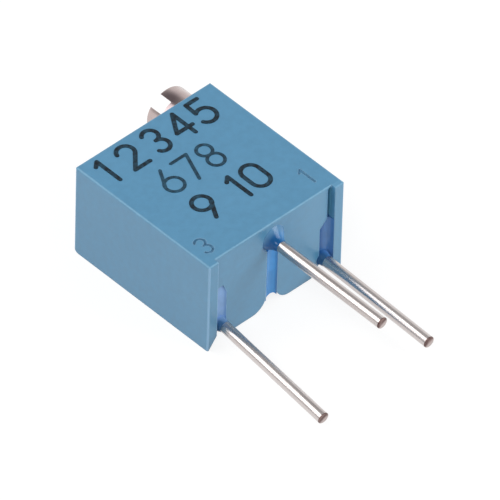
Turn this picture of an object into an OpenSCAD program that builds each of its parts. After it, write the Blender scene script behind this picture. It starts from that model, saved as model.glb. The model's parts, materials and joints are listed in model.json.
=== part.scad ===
// Multi-turn trimmer potentiometer, 1/4 inch square family, side adjust.
// Millimetres. The part lies on its back: +Z out of the marked face, -Y the way the leads leave,
// +Y out of the adjusting screw's face. The origin is on the centre lead's axis, in the plane of
// the two feet. The case is worked out from the inside: lead spacing, element and worm drive set
// the rooms, and the walls are added to them.

/* [Walls] */
// how far the two feet stand out of the terminal face
foot_h = 0.2; // [0.1:0.02:0.26]
// width of each foot
foot_w = 0.45; // [0.35:0.05:0.5]
// thickness of the side walls round the substrate
side_wall = 0.5; // [0.4:0.05:0.8]
// how much thicker the side walls are over the substrate, which rests on this step
side_ledge = 0.25; // [0.2:0.01:0.3]
// thickness of the marked wall over the room of the wheel
face_wall = 0.55; // [0.45:0.05:0.8]
// thickness of the terminal wall
lead_wall = 0.75; // [0.65:0.05:1]
// thickness of the wall round the screw's neck
neck_wall = 1.1; // [1:0.05:1.5]
// thickness of the side wall beside the worm
bore_wall = 0.37; // [0.3:0.01:0.45]
// rounding of the outer edges
edge_r = 0.08; // [0.04:0.01:0.12]
// rounding of the edge between the screw face and the back
heel_r = 0.25; // [0.1:0.05:0.4]

/* [Leads] */
// lead diameter
lead_d = 0.46; // [0.44:0.01:0.56]
// spacing of neighbouring leads across the part
pitch = 2.54; // [2.4:0.02:2.8]
// distance from the row of outer leads to the middle lead
row_pitch = 2.54; // [2.4:0.02:2.6]
// height of the outer leads over the back rim
low_lead_z = 0.76; // [0.72:0.02:1]
// room beside the outer leads, to the side walls
side_room = 0.08; // [0.05:0.01:0.1]
// length of the leads past the feet
lead_len = 5.5; // [3:0.1:8]
// bend radius of the middle lead inside the case
mid_bend_r = 0.35; // [0.3:0.01:0.4]
// how far the end of lead 3 is bent outward
lead3_out = 0.28; // [0.04:0.02:0.4]
// how far the end of lead 3 is bent toward the back
lead3_down = 0.46; // [0:0.02:0.48]
// how far the end of lead 1 is bent inward
lead1_in = 0.1; // [0.02:0.02:0.2]
// how far the end of lead 1 is bent toward the back
lead1_down = 0.08; // [0:0.02:0.4]
// how far the end of lead 2 is bent toward the back
lead2_down = 0.06; // [0.02:0.02:0.3]
// radius of these gentle bends, where the leads come free of the case
bend_r = 2.5; // [1:0.5:4]

/* [Lead slots] */
// width of the middle slot
mid_slot_w = 0.54; // [0.5:0.01:0.6]
// width of the outer slots
low_slot_w = 0.58; // [0.5:0.02:0.64]
// how far the outer slots stay under the marked face
low_slot_depth = 1.58; // [1.3:0.02:1.8]
// slanted part at the top of the outer slots
slot_slant = 0.35; // [0.2:0.05:0.4]
// depth of the sealing surface under the terminal face
seal_sink = 0.1; // [0.05:0.01:0.2]
// half width of the flared ends of the outer slots at the back
flare_w = 0.66; // [0.56:0.02:0.74]
// height of the flared ends
flare_h = 0.52; // [0.4:0.01:0.6]
// slant of the flares, across
flare_run = 0.4; // [0.3:0.02:0.5]
// width left of each foot's tip between the flare and the side of the case
foot_tip = 0.05; // [0.02:0.01:0.15]
// height of the bell-shaped lower end of the middle slot
bell_h = 0.56; // [0.5:0.02:0.6]
// radius of the rounded flanks of that bell
bell_r = 0.68; // [0.6:0.02:0.72]
// how far the terminal wall stays short of the back rim
wall_lift = 0.06; // [0.04:0.02:0.16]
// radius of the countersink round the middle lead
sink_r = 0.52; // [0.42:0.02:0.6]
// width of the relief groove beside the foot of lead 1
relief_w = 0.18; // [0.12:0.01:0.2]
// depth of that groove
relief_deep = 0.35; // [0.2:0.05:0.45]

/* [Element] */
// gap between the outer leads and the substrate, filled with solder
solder_gap = 0.12; // [0.06:0.01:0.15]
// thickness of the alumina substrate
sub_t = 0.6; // [0.5:0.05:0.8]
// gap round the substrate's ends
sub_gap = 0.1; // [0.06:0.01:0.15]
// thickness of the printed films
film = 0.03; // [0.02:0.005:0.04]
// height of the room of the contact spring
spring_room = 0.69; // [0.55:0.01:0.9]
// distance of the track's middle inside the wheel's tips
track_inset = 0.5; // [0.4:0.02:0.6]
// width of the resistive track
track_w = 0.5; // [0.4:0.02:0.56]
// half angle that the track covers
track_half = 125; // [122:1:128]
// thickness of the contact spring's plate
spring_t = 0.1; // [0.08:0.01:0.13]
// thickness of its fingers
finger_t = 0.07; // [0.06:0.005:0.08]
// running gap of the contacts over the films
contact_gap = 0.005; // [0.004:0.001:0.01]
// level of the sealing resin over the back rim
resin_h = 0.2; // [0.12:0.02:0.28]

/* [Worm drive] */
// teeth of the wheel
teeth = 18; // [18:1:18]
// pitch diameter of the worm
worm_pd = 1.24; // [1.1:0.02:1.4]
// length of the worm to either side of the wheel's centre
worm_half = 1.38; // [1.3:0.02:1.5]
// gap between the wheel's tips and the side wall
wheel_gap = 0.28; // [0.15:0.01:0.4]
// gap between the wheel's tips and the wall on the screw's side
wheel_top_gap = 0.2; // [0.15:0.01:0.3]
// gap between the wheel's tips and the middle lead
wheel_lead_gap = 0.15; // [0.1:0.01:0.25]
// thickness of the wheel
wheel_t = 1.1; // [1:0.02:1.3]
// diameter of the post the wheel turns on
post_d = 1.12; // [1:0.02:1.3]
// diameter of the thrust ring round the post
thrust_d = 1.9; // [1.7:0.05:2.1]
// height of the thrust ring
thrust_h = 0.1; // [0.06:0.01:0.15]
// radial running clearance of the wheel on its post
wheel_fit = 0.04; // [0.02:0.005:0.06]
// end play of the wheel under the thrust ring
wheel_play = 0.02; // [0.01:0.005:0.03]
// play between the worm's thread and the wheel's teeth
mesh_play = 0.04; // [0.03:0.005:0.06]

/* [Adjusting screw] */
// head diameter
head_d = 1.94; // [1.7:0.02:2.2]
// height of the head's top over the case
head_rise = 1; // [0.8:0.05:1.3]
// gap under the head
head_gap = 0.04; // [0.03:0.01:0.06]
// chamfer of the head
head_chamfer = 0.07; // [0.03:0.01:0.1]
// width of the driver slot
slot_w = 0.58; // [0.4:0.02:0.7]
// depth of the driver slot
slot_deep = 0.6; // [0.4:0.02:0.7]
// direction of the driver slot
slot_turn = 54; // [0:1:90]
// how much thicker the neck is than the worm's tips
neck_over = 0.02; // [0.01:0.005:0.03]
// radial running clearance of the screw in the case and the clip
screw_fit = 0.04; // [0.03:0.005:0.05]
// diameter of the plain shank between neck and worm
shank_d = 1.2; // [1.1:0.02:1.3]
// diameter at the grooves for the clip and the O-ring
groove_d = 1.04; // [0.94:0.02:1.08]
// diameter of the tip
tip_d = 0.7; // [0.6:0.02:0.78]
// length of the tip, which runs in the bearing block
tip_len = 1.2; // [1:0.05:1.3]
// section diameter of the O-ring
ring_d = 0.3; // [0.26:0.01:0.33]
// thickness of the retaining clip
clip_t = 0.14; // [0.12:0.01:0.15]

/* [Marking] */
// height of the printed figures
figure_h = 1.25; // [1:0.05:1.4]
// stroke width of the bold figures
stroke = 0.17; // [0.12:0.01:0.2]
// stroke width of the thin figures
thin_stroke = 0.13; // [0.1:0.01:0.16]
// thickness of the ink
ink_t = 0.012; // [0.01:0.001:0.02]
// height of the sunk numerals
sunk_h = 0.8; // [0.6:0.05:0.9]
// stroke width of the sunk numerals
sunk_stroke = 0.1; // [0.07:0.01:0.12]
// depth of the sunk numerals
sunk = 0.06; // [0.03:0.01:0.08]

/* [Hidden] */
$fn = 96;
eps = 0.02;                             // how far cuts run past a face and joined solids overlap
far = 20;                               // longer than anything here
lead_r = lead_d / 2;
// across: the rooms and walls beside the outer leads
x_in = pitch + lead_r + side_room;      // sides of the room for the substrate
x_up = x_in - side_ledge;               // sides of the room for the wheel
hw = x_in + side_wall;
foot_x = hw - foot_w;                   // inner side of each foot
// worm and wheel share the width of their room, which gives the tooth size
worm_r = worm_pd / 2;
gear_module = (hw - bore_wall - neck_over - screw_fit - worm_pd + x_up - wheel_gap) / (teeth + 2);
addendum = gear_module;
dedendum = 1.2 * gear_module;
pressure = 20;
thread_lead = PI * gear_module;
wheel_r = gear_module * teeth / 2;
tip_wheel_r = wheel_r + addendum;
helix = thread_lead / (2 * PI * worm_r) / wheel_r * 180 / PI;   // tooth slant, degrees per mm
neck_r = worm_r + addendum + neck_over;
bore_r = neck_r + screw_fit;
sx = hw - bore_wall - bore_r;
wx = sx - worm_r - wheel_r;
// along: from the feet to the screw face
y_face = foot_h;                        // the terminal face between the feet
y_in = y_face + lead_wall;              // inside of the terminal wall
drop_gap = 0.24;                        // from that wall to the middle lead
y_drop = y_in + drop_gap + lead_r;      // where the middle lead comes down to the substrate
wy = y_drop + lead_r + wheel_lead_gap + tip_wheel_r;
y_neck = wy + tip_wheel_r + wheel_top_gap;
y_top = y_neck + neck_wall;
y_seal = y_face + seal_sink;
// up: from the back rim to the marked face
z_low = -row_pitch;
z_back = z_low - low_lead_z;
z_resin = z_back + resin_h;
z_sub = z_low + lead_r + solder_gap;
z_top = z_sub + sub_t;
z_film = z_top + film;
wheel_z0 = z_film + spring_room;
wheel_z1 = wheel_z0 + wheel_t;
sz = wheel_z0 + wheel_t / 2;
z_up = wheel_z1 + wheel_play + thrust_h;
z_face = z_up + face_wall;
// slots
lead_room = 0.05;                       // open ring round a lead in its slot
z_slot = z_face - low_slot_depth;
z_seal_low = z_low - lead_r - lead_room;    // lower end of the resin in the outer slots
arch_r = 1.1 * mid_slot_w / 2;          // the resin's lower end in the middle slot is arched
z_arch = z_back + bell_h - arch_r;      // middle of that arch
z_seal_mid = z_arch + arch_r / 2;       // lower end of the resin at the slot's walls
// screw
head_r = head_d / 2;
groove_r = groove_d / 2;
tip_r = tip_d / 2;
clip_gap = 0.02;                        // play of the clip along the screw
seat_room = 0.03;                       // room round the clip in its seat
y_clip = y_neck - clip_gap - clip_t;
clip_in = 0.08;                         // how much narrower the clip is than the bore, a side
clip_half = bore_r - clip_in;
gland_room = 0.04;                      // how much wider the O-ring's groove is than the ring
gland_w = ring_d + gland_room;
y_gland = y_neck + (neck_wall - gland_w) / 2;   // near side of the O-ring's groove
y_worm0 = wy - worm_half;
y_worm1 = wy + worm_half;
block_gap = 0.2;                        // from the worm's end to the bearing block
y_block = y_worm0 - block_gap;
y_tip = y_worm0 - tip_len;
tip_room = 0.1;                         // room past the tip's end
block_room = 0.05;                      // from the films to the blocks in the wheel's room
z_block = z_film + block_room;
// rotor
ring_sink = 0.15;                       // depth of the ring sunk into the wheel's upper side
peg_r = 0.11;
peg_out = 0.29;                         // from the post to the pegs' middle
peg_over = 0.05;                        // how far the pegs reach through the plate
plate_edge = 0.25;                      // from the pegs' middle to the plate's edge
peg_x = post_d / 2 + peg_out;
peg_h = spring_t + peg_over;
plate_r = peg_x + plate_edge;
track_r = tip_wheel_r - track_inset;
// substrate and prints
sub_side = 0.02;                        // gap beside the substrate
x_sub = x_in - sub_side;
y_sub0 = y_in + sub_gap;
y_sub1 = y_neck - sub_gap;
lead_seat = 0.95;                       // length of the outer leads under the substrate
solder_end = 0.05;                      // how much shorter the solder is, at each end
y_lead = y_sub0 + lead_seat;            // inner end of the outer leads
bend_gap = 0.05;                        // from the case to a lead's gentle bend
pad_side = 0.03;                        // how far the prints reach past the outer leads
pad_ledge = 0.05;                       // from the prints to the step in the side walls
pad_x0 = pitch - 2 * lead_r;            // inner side of the end prints
pad_x1 = x_up - pad_ledge;              // outer side on top of the substrate
pad_x2 = pitch + lead_r + pad_side;     // outer side under the substrate
solder_x0 = pitch - 1.4 * lead_r;       // inner side of the solder

// ---- helpers ----
module box(a, b) { translate(a) cube(b - a); }

// a flat shape drawn in (x, z), extruded from y = a to y = b
module along_y(a, b) { translate([0, b, 0]) rotate([90, 0, 0]) linear_extrude(b - a) children(); }

// a flat shape drawn in (y, z), extruded from x = a to x = b
module along_x(a, b) { translate([a, 0, 0]) rotate([90, 0, 90]) linear_extrude(b - a) children(); }

// a shape turned about z, laid along +Y on the screw's axis from y
module on_screw(y = 0) { translate([sx, y, sz]) rotate([-90, 0, 0]) children(); }

module rounded(x0, y0, x1, y1, r) {
    translate([x0 + r, y0]) square([x1 - x0 - 2 * r, y1 - y0]);
    translate([x0, y0 + r]) square([x1 - x0, y1 - y0 - 2 * r]);
    for (x = [x0 + r, x1 - r]) for (y = [y0 + r, y1 - r]) translate([x, y]) circle(r);
}

// the case's section, standing on the back rim with its two upper corners rounded
module upright(x0, x1) {
    h = z_face - z_back;
    translate([x0, z_back]) square([x1 - x0, h - edge_r]);
    translate([x0 + edge_r, z_back]) square([x1 - x0 - 2 * edge_r, h]);
    for (x = [x0 + edge_r, x1 - edge_r]) translate([x, z_face - edge_r]) circle(edge_r);
}

// ---- case ----
module block() {
    difference() {
        intersection() {
            translate([0, 0, z_back]) linear_extrude(z_face - z_back) rounded(-hw, 0, hw, y_top, edge_r);
            along_y(0, y_top) upright(-hw, hw);
            along_x(-hw, hw) upright(0, y_top);
        }
        // rounded edge between the screw face and the back
        along_x(-far, far) difference() {
            translate([y_top - heel_r, z_back - far]) square([far, far + heel_r]);
            translate([y_top - heel_r, z_back + heel_r]) circle(heel_r);
        }
        // the terminal face lies back between the feet
        along_x(-foot_x, foot_x) difference() {
            translate([-far, z_back - far]) square([far + y_face + 2 * edge_r, 2 * far]);
            upright(y_face, y_top);
        }
    }
}

// outlines of the slots, drawn in (x, z)
module slot_mid() {
    translate([-mid_slot_w / 2, -far]) square([mid_slot_w, far]);
    circle(mid_slot_w / 2);
}

module slot_3() {
    x1 = low_slot_w + lead_room - foot_x;
    polygon([[-foot_x, -far], [x1, -far], [x1, z_slot - 1.2 * slot_slant], [x1 - slot_slant / 2, z_slot],
             [-foot_x, z_slot]]);
    translate([-pitch, z_low]) circle(lead_r + lead_room);
}

module slot_1() {
    x0 = foot_x - low_slot_w + lead_room;
    polygon([[x0, -far], [foot_x, -far], [foot_x, z_slot + eps], [foot_x - relief_w, z_slot + eps],
             [x0, z_slot + eps - slot_slant]]);
    translate([pitch, z_low]) circle(lead_r + lead_room);
}

// flared lower end of a slot, from x0 to x1 at the back
module flare(x0, x1) {
    translate([0, z_back]) polygon([[x0, -far], [x1, -far], [x1, 0], [x1 - flare_run, flare_h],
                                    [x0 + flare_run, flare_h], [x0, 0]]);
}

// rounded lower end of the middle slot: two round flanks that meet the slot's walls at bell_h
module bell() {
    rise = wall_lift + bell_r;
    x1 = mid_slot_w / 2 + sqrt(pow(bell_r, 2) - pow(rise - bell_h, 2));
    translate([0, z_back]) difference() {
        translate([-x1, -far]) square([2 * x1, far + bell_h + eps]);
        for (s = [-1, 1]) translate([s * x1, rise]) circle(bell_r);
    }
}

module relief() {
    z1 = z_face - edge_r - relief_w / 2;
    translate([foot_x - relief_w, z_slot]) square([relief_w, z1 - z_slot]);
    translate([foot_x - relief_w / 2, z1]) circle(relief_w / 2);
}

module countersink() {
    translate([0, y_face - eps, 0]) rotate([-90, 0, 0])
        cylinder(r1 = sink_r + eps, r2 = mid_slot_w / 2, h = sink_r + eps - mid_slot_w / 2);
}

module case() color("#5b93b5") difference() {
    union() {
        difference() {
            block();
            // room for the resin and the substrate, open at the back
            box([-x_in, y_in, -far], [x_in, y_neck, z_top]);
            // room for the wheel
            box([-x_up, y_in, z_top - eps], [x_up, y_neck, z_up]);
            along_y(y_face - far, y_in + eps) {
                slot_mid();
                bell();
                flare(foot_tip - hw, flare_w - pitch);
                flare(pitch - 0.88 * flare_w, hw - foot_tip);
            }
            along_y(y_face - far, y_in) {
                slot_3();
                slot_1();
            }
            box([-foot_x, y_face - far, -far], [foot_x, y_in + eps, z_back + wall_lift]);
            along_y(y_face - far, y_face + relief_deep) relief();
            countersink();
            // bore of the worm and of the neck
            on_screw(y_block) cylinder(r = bore_r, h = far);
            // seat of the clip
            box([sx - clip_half - seat_room, y_clip - 2 * clip_gap, z_top],
                [sx + clip_half + seat_room, y_neck, z_up]);
        }
        // bearing block of the screw's tip
        difference() {
            box([sx - tip_r - bore_wall, y_in - eps, z_block], [x_up + eps, y_block, z_up + eps]);
            on_screw(y_tip - tip_room) cylinder(r = tip_r + screw_fit, h = far);
        }
        // block that closes the slot of lead 3
        box([-x_up - eps, y_in - eps, z_block], [-pitch + low_slot_w, y_drop + lead_r, z_up + eps]);
        // post and thrust ring of the wheel
        translate([wx, wy, wheel_z0 + wheel_play]) cylinder(d = post_d, h = z_up - wheel_z0);
        translate([wx, wy, wheel_z1 + wheel_play]) cylinder(d = thrust_d, h = z_up - wheel_z1);
    }
    // sunk numerals of the two outer terminals
    translate([-numeral_x, numeral_y, z_face - sunk]) figure(3, sunk_h, sunk_stroke, 1);
    translate([numeral_x - numeral_off, numeral_y + numeral_off, z_face - sunk])
        figure(1, sunk_h, sunk_stroke, 1);
}

// ---- resin ----
// the resin in a slot slopes from the slot's lower end at z0 to the level inside
module slot_resin(z0) {
    intersection() {
        along_x(-far, far) polygon([[y_seal, z0], [y_in, z_resin], [y_in, z_face], [y_seal, z_face]]);
        along_y(y_face, y_in) children();
    }
}

module sealing_resin() color("#4a7fc0") difference() {
    union() {
        box([-x_in, y_in, z_resin], [x_in, y_neck, z_sub]);
        slot_resin(z_seal_mid) difference() {
            slot_mid();
            translate([0, z_arch]) circle(arch_r);
        }
        slot_resin(z_seal_low) {
            slot_3();
            slot_1();
        }
    }
    countersink();
    lead_1_shape();
    lead_2_shape();
    lead_3_shape();
    for (s = [-1, 1]) {
        end_print(s);
        solder_low(s);
    }
}

// ---- screw ----
// section of a right-handed single-start thread: its radius follows the distance from the crest
crest = thread_lead / 4 - addendum * tan(pressure) - mesh_play / 4;   // half width of the crest
function thread_radius(s) = max(worm_r - dedendum,
    worm_r + addendum - max(0, abs(s) - crest) / tan(pressure));

module worm_thread() {
    steps = 24;
    h = y_worm1 - y_worm0;
    // the crest meets a tooth space of the wheel where the two pitch circles touch
    turn0 = 180 - 360 * (wy - y_worm0) / thread_lead;
    on_screw(y_worm0) rotate(turn0) linear_extrude(height = h, twist = -360 * h / thread_lead,
        slices = ceil(18 * h / thread_lead), $fn = steps)
        polygon([for (i = [0:steps - 1]) let(part = i / steps, s = part > 0.5 ? part - 1 : part)
                 thread_radius(s * thread_lead) * [cos(360 * part), sin(360 * part)]]);
}

module adjust_screw() color("#b9b2a4") difference() {
    y_head = y_top + head_gap;
    y_end = y_top + head_rise;
    c = head_chamfer;
    union() {
        worm_thread();
        on_screw() rotate_extrude() polygon([
            [0, y_tip], [tip_r - c, y_tip], [tip_r, y_tip + c], [tip_r, y_worm0 + eps],
            [0, y_worm0 + eps]]);
        on_screw() rotate_extrude() polygon([
            [0, y_worm1 - eps], [shank_d / 2, y_worm1 - eps], [shank_d / 2, y_clip - clip_gap],
            [groove_r, y_clip - clip_gap], [groove_r, y_neck + clip_gap], [neck_r, y_neck + clip_gap],
            [neck_r, y_gland], [groove_r, y_gland], [groove_r, y_gland + gland_w],
            [neck_r, y_gland + gland_w], [neck_r, y_head], [head_r - c / 2, y_head],
            [head_r, y_head + c / 2], [head_r, y_end - c], [head_r - c, y_end], [0, y_end]]);
    }
    on_screw() rotate(slot_turn) box([-far, -slot_w / 2, y_end - slot_deep], [far, slot_w / 2, far]);
}

// the ring sits in its groove and reaches the bore
module o_ring() color("#26262a") on_screw(y_gland + gland_w / 2) rotate_extrude()
    translate([bore_r - contact_gap - ring_d / 2, 0]) circle(d = ring_d, $fn = 48);

module retaining_clip() color("#9a9da0") difference() {
    box([sx - clip_half, y_clip, sz - clip_half], [sx + clip_half, y_clip + clip_t, z_up - seat_room]);
    on_screw() cylinder(r = groove_r + screw_fit, h = far);
    box([sx - groove_r - screw_fit, 0, -far], [sx + groove_r + screw_fit, y_top, sz]);
}

// ---- rotor ----
// involute teeth: half the tooth's angle at radius r, in degrees
base_r = wheel_r * cos(pressure);
half_thick = thread_lead / 4 - mesh_play / 4;
function inv(a) = tan(a) - a * PI / 180;
function half_tooth(r) = 180 / PI *
    (half_thick / wheel_r + inv(pressure) - (r > base_r ? inv(acos(base_r / r)) : 0));
tooth_radii = [wheel_r - dedendum, wheel_r - 0.85 * gear_module, 1.005 * base_r, wheel_r,
               wheel_r + addendum / 2, tip_wheel_r];

module worm_wheel() color("#e6e2d6") translate([wx, wy, 0]) {
    k = len(tooth_radii);
    difference() {
        translate([0, 0, wheel_z0]) rotate(180 / teeth - helix * wheel_t / 2)
            linear_extrude(height = wheel_t, twist = -helix * wheel_t, slices = 3, $fn = 0)
                polygon([for (t = [0:teeth - 1]) for (i = [0:2 * k - 1])
                    let(r = tooth_radii[i < k ? i : 2 * k - 1 - i],
                        a = t * 360 / teeth + (i < k ? -1 : 1) * half_tooth(r)) r * [cos(a), sin(a)]]);
        translate([0, 0, wheel_z0 - far / 2]) cylinder(r = post_d / 2 + wheel_fit, h = far);
        // a shallow ring is sunk into the upper side
        translate([0, 0, wheel_z1 - ring_sink]) difference() {
            cylinder(r = wheel_r - 2 * addendum, h = far);
            translate([0, 0, -far / 2]) cylinder(d = thrust_d, h = 2 * far);
        }
    }
    // two pegs hold the wiper
    for (x = [-peg_x, peg_x]) translate([x, 0, wheel_z0 - peg_h]) cylinder(r = peg_r, h = peg_h + eps);
}

module wiper() color("#c9a24a") translate([wx, wy, 0]) {
    z1 = wheel_z0;
    z0 = z1 - spring_t;
    zc = z_film + contact_gap;
    t = finger_t;
    difference() {
        translate([0, 0, z0]) cylinder(r = plate_r, h = spring_t);
        translate([0, 0, z0 - far / 2]) cylinder(r = 6 * t, h = far);
        for (x = [-peg_x, peg_x]) translate([x, 0, z0 - far / 2])
            cylinder(r = peg_r + contact_gap, h = far);
        // slits free the inner arm
        for (x = [-4 * t, 4 * t]) box([x - t / 2, 2 * t - plate_r, -far], [x + t / 2, 0, far]);
    }
    // three fingers reach down to the track
    x0 = plate_r - 1.5 * t;
    for (x = [-3 * t, 0, 3 * t]) along_x(x - t, x + t) polygon([
        [x0, z0], [x0 + t, z0], [track_r - 2.3 * t, zc + t], [track_r - 1.2 * t, zc],
        [track_r + 1.2 * t, zc],
        [track_r + 2.5 * t, zc + 1.5 * t], [track_r + 1.4 * t, zc + 1.8 * t], [track_r + 0.7 * t, zc + t],
        [track_r - 0.7 * t, zc + t], [track_r - 1.4 * t, zc + 1.8 * t], [x0 + 2 * t, z1], [x0, z1]]);
    // the inner arm reaches down to the collector
    along_x(-2.8 * t, 2.8 * t) polygon([
        [-7 * t, z0], [-7 * t, z1], [-6 * t, z1], [-1.5 * t, zc + 2 * t], [-0.3 * t, zc + t],
        [1.5 * t, zc + 1.5 * t], [2 * t, zc + 0.5 * t], [0.5 * t, zc], [-0.8 * t, zc],
        [-2.5 * t, zc + t], [-6.5 * t, z0]]);
}

// ---- element ----
module substrate() color("#f0ede4") box([-x_sub, y_sub0, z_sub], [x_sub, y_sub1, z_top]);

module track_shape() {
    translate([wx, wy, z_top]) rotate(90 - track_half) rotate_extrude(angle = 2 * track_half)
        translate([track_r - track_w / 2, 0]) square([track_w, film]);
}

module track() color("#3a3431") track_shape();

module collector() color("#c4c6c8") translate([0, 0, z_top]) {
    disc_r = 0.9 * track_w;
    half = 0.4 * disc_r;                // half width of the strip to lead 2
    translate([wx, wy, 0]) cylinder(r = disc_r, h = film);
    difference() {
        linear_extrude(film) polygon([[wx - half, wy], [wx + half, wy], [half, y_drop], [-half, y_drop]]);
        translate([wx, wy, -far / 2]) cylinder(r = disc_r - eps, h = far);
    }
    box([-1.4 * lead_r, y_drop - 1.2 * lead_r, 0], [1.4 * lead_r, y_drop + lead_r, film]);
}

// end print at the side s of the part, wrapped round the substrate's edge
module end_print(s) {
    ex = wx + s * track_r * sin(track_half);
    ey = wy + track_r * cos(track_half);
    w = track_w;
    difference() {
        translate([0, 0, z_top]) linear_extrude(film)
            polygon([[ex - s * 0.4 * w, ey - 0.7 * w], [ex + s * 0.6 * w, ey + 0.2 * w],
                     [s * pad_x1, y_sub0 + w], [s * pad_x1, y_sub0], [s * pad_x0, y_sub0],
                     [s * pad_x0, y_sub0 + 0.6 * w]]);
        track_shape();
    }
    y0 = y_sub0 - film;
    z0 = z_sub - film;
    box([min(s * pad_x0, s * pad_x1), y0, z0], [max(s * pad_x0, s * pad_x1), y_sub0, z_film]);
    box([min(s * pad_x0, s * pad_x2), y0, z0], [max(s * pad_x0, s * pad_x2), y_lead, z_sub]);
}

module end_print_1() color("#c4c6c8") end_print(1);
module end_print_3() color("#c4c6c8") end_print(-1);

// ---- leads ----
// a lead at (x, z), straight from y1 to y0; then a gentle bend carries its end by (dx, -dz)
module bent_lead(x, z, y1, y0, dx, dz) {
    l = lead_len + y0;
    bend = atan2(norm([dx, dz]), l);
    back = bend_r * tan(bend / 2);
    translate([x, y0, z]) rotate([0, atan2(dz, dx), 0]) {
        translate([0, y1 - y0, 0]) rotate([90, 0, 0]) cylinder(r = lead_r, h = y1 - y0);
        translate([bend_r, 0, 0]) rotate(180) rotate_extrude(angle = bend)
            translate([bend_r, 0]) circle(lead_r);
        translate([bend_r * (1 - cos(bend)), -bend_r * sin(bend), 0]) rotate([90, 0, bend])
            cylinder(r = lead_r, h = (l - back) / cos(bend) - back);
    }
}

// the outer leads are held as far as the feet, the middle one as far as the terminal face
module lead_1_shape() { bent_lead(pitch, z_low, y_lead, -bend_gap, -lead1_in, lead1_down); }
module lead_3_shape() { bent_lead(-pitch, z_low, y_lead, -bend_gap, -lead3_out, lead3_down); }

// the middle lead rises from the substrate and bends outward
module lead_2_shape() {
    y1 = y_drop - mid_bend_r;
    translate([0, y_drop, z_film]) cylinder(r = lead_r, h = -mid_bend_r - z_film);
    translate([0, y1, -mid_bend_r]) rotate([90, 0, 90]) rotate_extrude(angle = 90)
        translate([mid_bend_r, 0]) circle(lead_r);
    bent_lead(0, 0, y1, y_face - bend_gap, 0, lead2_down);
}

module lead_1() color("#c9c9cc") lead_1_shape();
module lead_2() color("#c9c9cc") lead_2_shape();
module lead_3() color("#c9c9cc") lead_3_shape();

// solder between an outer lead and its end print, at the side s of the part
module solder_low(s) {
    difference() {
        box([min(s * solder_x0, s * pad_x2), y_sub0 + solder_end, z_low],
            [max(s * solder_x0, s * pad_x2), y_lead - solder_end, z_sub - film]);
        translate([s * pitch, 0, z_low]) rotate([-90, 0, 0]) cylinder(r = lead_r, h = far);
    }
}

module solder_1() color("#b4b6b8") solder_low(1);
module solder_3() color("#b4b6b8") solder_low(-1);
module solder_2() color("#b4b6b8") translate([0, y_drop, z_film]) difference() {
    cylinder(r1 = 1.3 * lead_r, r2 = lead_r, h = lead_r);
    translate([0, 0, -far / 2]) cylinder(r = lead_r, h = far);
}

// ---- figures ----
// arcs are [x, y, radius, from, to], bars are [x0, y0, x1, y1], in parts of the figure's height
figure_arcs = [
    [[0.3, 0.7, 0.3, 0, 180], [0.3, 0.3, 0.3, 180, 360]],
    [],
    [[0.3, 0.72, 0.28, -35, 165]],
    [[0.3, 0.75, 0.25, -90, 150], [0.3, 0.25, 0.25, -150, 90]],
    [],
    [[0.28, 0.31, 0.31, -150, 130]],
    [[0.3, 0.3, 0.3, 0, 360]],
    [],
    [[0.3, 0.76, 0.24, 0, 360], [0.3, 0.26, 0.26, 0, 360]],
    [[0.3, 0.7, 0.3, 0, 360]]];
figure_bars = [
    [[0, 0.3, 0, 0.7], [0.6, 0.3, 0.6, 0.7]],
    [[0.32, 0, 0.32, 1], [0.32, 1, 0.14, 0.84]],
    [[0.53, 0.56, 0.02, 0], [0.02, 0, 0.6, 0]],
    [],
    [[0.46, 0, 0.46, 1], [0.46, 1, 0, 0.3], [0, 0.3, 0.62, 0.3]],
    [[0.54, 1, 0.1, 1], [0.1, 1, 0.08, 0.55]],
    [[0.03, 0.4, 0.38, 1]],
    [[0, 1, 0.6, 1], [0.6, 1, 0.2, 0]],
    [],
    [[0.57, 0.6, 0.22, 0]]];

// one figure centred on the origin, upright toward +Y: n its value, h its height, w its stroke
module figure(n, h, w, t) {
    translate([-0.3 * h, -h / 2, 0]) {
        for (a = figure_arcs[n]) translate([a[0] * h, a[1] * h, 0]) {
            rotate(a[3]) rotate_extrude(angle = a[4] - a[3])
                translate([a[2] * h - w / 2, 0]) square([w, t]);
            if (a[4] - a[3] < 360) for (e = [a[3], a[4]])
                translate(a[2] * h * [cos(e), sin(e), 0]) cylinder(d = w, h = t, $fn = 32);
        }
        for (b = figure_bars[n]) {
            l = norm([b[2] - b[0], b[3] - b[1]]) * h;
            translate([b[0] * h, b[1] * h, 0]) rotate(atan2(b[3] - b[1], b[2] - b[0])) {
                translate([0, -w / 2, 0]) cube([l, w, t]);
                for (x = [0, l]) translate([x, 0, 0]) cylinder(d = w, h = t, $fn = 32);
            }
        }
    }
}

// a plain count from one to ten in three rows: [figure, its place across, from the case's middle]
step = 0.95 * figure_h;
rows = [[[1, -2.2], [2, -1.25], [3, -0.2], [4, 0.8], [5, 1.75]],
        [[6, -1.1], [7, -0.25], [8, 0.6]],
        [[9, -1.05], [1, 0.3], [0, 1.0]]];
row_inset = 0.32;                         // from the first row to the edge of the marked face
row_y = y_top - row_inset - figure_h / 2; // middle of the first row
row_step = 1.5 * figure_h;
numeral_inset = 0.64;                     // from the side of the case to a numeral's middle
numeral_x = hw - numeral_inset;
numeral_y = sunk_h + foot_h;
numeral_off = 0.15;                       // the 1 stands that much further from both edges

module marking() color("#1c2b36")
    for (i = [0:2]) for (f = rows[i]) translate([f[1] * step, row_y - i * row_step, z_face])
        figure(f[0], figure_h, i == 1 ? thin_stroke : stroke, ink_t);

case();
sealing_resin();
adjust_screw();
o_ring();
retaining_clip();
worm_wheel();
wiper();
substrate();
track();
collector();
end_print_1();
end_print_3();
lead_1();
lead_2();
lead_3();
solder_1();
solder_2();
solder_3();
marking();
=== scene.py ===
import json
import math

import bmesh
import bpy
from mathutils import Matrix, Vector


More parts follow.
